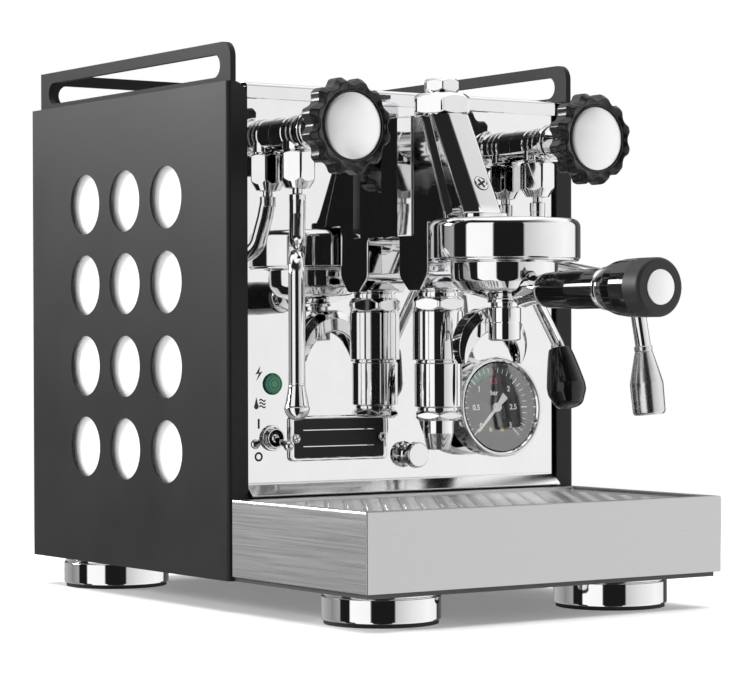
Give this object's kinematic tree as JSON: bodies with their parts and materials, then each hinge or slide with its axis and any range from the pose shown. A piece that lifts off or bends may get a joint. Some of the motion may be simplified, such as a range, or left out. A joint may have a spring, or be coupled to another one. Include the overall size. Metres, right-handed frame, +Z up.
{
  "type": "espresso machine",
  "caption": "Countertop espresso machine with a lever brew group, locking filter holder, steam and hot water wands, dial gauge, cup rail and pull-out drip tray.",
  "frame": {"origin": "on the floor under the centre of the whole machine's bounding box, handle included", "axes": "+X to the right seen from the front, +Y to the back, +Z up; the filter holder's handle points along -Y"},
  "size_m": [0.274, 0.518, 0.3565],
  "materials": {
    "frame_steel": "satin powder coat",
    "polished_panel": "mirror polished stainless sheet",
    "black_paint": "satin powder coat",
    "white_plastic": "matt sheet behind the round windows",
    "rail_paint": "satin powder coat",
    "chrome_parts": "polished chrome plate",
    "black_rubber": "matt moulded rubber",
    "badge_steel": "satin plate with a bright rim",
    "black_gloss": "polished black phenolic",
    "green_lens": "moulded translucent lens",
    "dial_print": "printed dark dial",
    "clear_glass": "clear",
    "steel_mesh": "fine satin",
    "copper_sheet": "dull copper",
    "brass_parts": "turned brass",
    "pump_metal": "cast and painted",
    "tank_plastic": "clear moulded tank",
    "black_plastic": "moulded",
    "cap_metal": "turned and polished",
    "seat_plastic": "low friction seat",
    "wand_steel": "polished stainless",
    "brushed_tray": "lengthwise brushed stainless",
    "white_paint": "matt paint"
  },
  "bodies": {
    "machine": {"base_frame": "frame_steel", "front_panel": "polished_panel", "rear_panel": "polished_panel", "side_panel_left": "black_paint", "side_panel_right": "black_paint", "side_inserts": "white_plastic", "cup_rail": "rail_paint", "feet": "chrome_parts", "foot_pads": "black_rubber", "badge_plate": "badge_steel", "indicator_bezel": "black_gloss", "indicator_lens": "green_lens", "toggle_bushing": "chrome_parts", "panel_stud": "chrome_parts", "gauge_case": "chrome_parts", "gauge_dial": "dial_print", "gauge_glass": "clear_glass", "group_body": "chrome_parts", "group_cap_nut": "chrome_parts", "group_top_nut": "chrome_parts", "group_bell": "chrome_parts", "group_gasket": "black_rubber", "shower_screen": "steel_mesh", "exhaust_chamber": "chrome_parts", "steam_valve": "chrome_parts", "water_valve": "chrome_parts", "wand_nuts": "chrome_parts", "boiler": "copper_sheet", "heating_element": "brass_parts", "boiler_pipes": "copper_sheet", "boiler_fittings": "brass_parts", "pump": "pump_metal", "water_tank": "tank_plastic", "control_box": "black_plastic", "power_inlet": "black_plastic", "case_screws": "chrome_parts"},
    "steam_control": {"steam_knob": "black_gloss", "steam_knob_cap": "cap_metal", "steam_spindle": "brass_parts"},
    "water_control": {"water_knob": "black_gloss", "water_knob_cap": "cap_metal", "water_spindle": "brass_parts"},
    "steam_swivel": {"steam_ball_seat": "seat_plastic"},
    "steam_pipe": {"steam_wand": "wand_steel", "steam_tip": "wand_steel"},
    "water_swivel": {"water_ball_seat": "seat_plastic"},
    "water_pipe": {"water_wand": "wand_steel", "water_tip": "wand_steel"},
    "brew_lever": {"lever_arm": "chrome_parts", "lever_grip": "black_gloss"},
    "filter_holder": {"portafilter": "chrome_parts", "filter_basket": "steel_mesh", "spout": "chrome_parts", "handle_grip": "black_gloss", "handle_trim": "cap_metal"},
    "tray": {"drip_tray": "brushed_tray"},
    "grate": {"drip_grate": "brushed_tray"},
    "switch_lever": {"toggle_lever": "chrome_parts"},
    "needle": {"gauge_needle": "white_paint"},
    "cup_shelf": {"cup_tray": "brushed_tray"}
  },
  "joints": [
    {"name": "steam_valve_turn", "type": "hinge", "parent": "machine", "child": "steam_control", "pos_m": [-0.095, -0.067, 0.3], "axis": [0, 1, 0], "range_deg": [0, 270]},
    {"name": "water_valve_turn", "type": "hinge", "parent": "machine", "child": "water_control", "pos_m": [0.095, -0.067, 0.3], "axis": [0, 1, 0], "range_deg": [0, 270]},
    {"name": "steam_wand_swivel", "type": "hinge", "parent": "machine", "child": "steam_swivel", "pos_m": [-0.095, -0.0214, 0.272], "axis": [0, 0, 1], "range_deg": [-35, 70]},
    {"name": "steam_wand_tilt", "type": "hinge", "parent": "steam_swivel", "child": "steam_pipe", "pos_m": [-0.095, -0.0214, 0.272], "axis": [1, 0, 0], "range_deg": [-14, 6]},
    {"name": "water_wand_swivel", "type": "hinge", "parent": "machine", "child": "water_swivel", "pos_m": [0.095, -0.0214, 0.272], "axis": [0, 0, 1], "range_deg": [-25, 60]},
    {"name": "water_wand_tilt", "type": "hinge", "parent": "water_swivel", "child": "water_pipe", "pos_m": [0.095, -0.0214, 0.272], "axis": [1, 0, 0], "range_deg": [-14, 6]},
    {"name": "brew_lever_lift", "type": "hinge", "parent": "machine", "child": "brew_lever", "pos_m": [0.053, -0.04, 0.238], "axis": [1, 0, 0], "range_deg": [-80, 0]},
    {"name": "filter_holder_turn", "type": "hinge", "parent": "machine", "child": "filter_holder", "pos_m": [0, -0.11, 0.225], "axis": [0, 0, 1], "range_deg": [-50, 0]},
    {"name": "tray_slide", "type": "slide", "parent": "machine", "child": "tray", "axis": [0, -1, 0], "range_m": [0, 0.15]},
    {"name": "grate_lift", "type": "slide", "parent": "tray", "child": "grate", "axis": [0, 0, 1], "range_m": [0, 0.02]},
    {"name": "switch_throw", "type": "hinge", "parent": "machine", "child": "switch_lever", "pos_m": [-0.1034, -0.007, 0.1085], "axis": [1, 0, 0], "range_deg": [-30, 0]},
    {"name": "needle_turn", "type": "hinge", "parent": "machine", "child": "needle", "pos_m": [0.0595, -0.029, 0.1263], "axis": [0, 0.9962, -0.0872], "range_deg": [0, 270]},
    {"name": "cup_shelf_lift", "type": "slide", "parent": "machine", "child": "cup_shelf", "axis": [0, 0, 1], "range_m": [0, 0.06]}
  ]
}
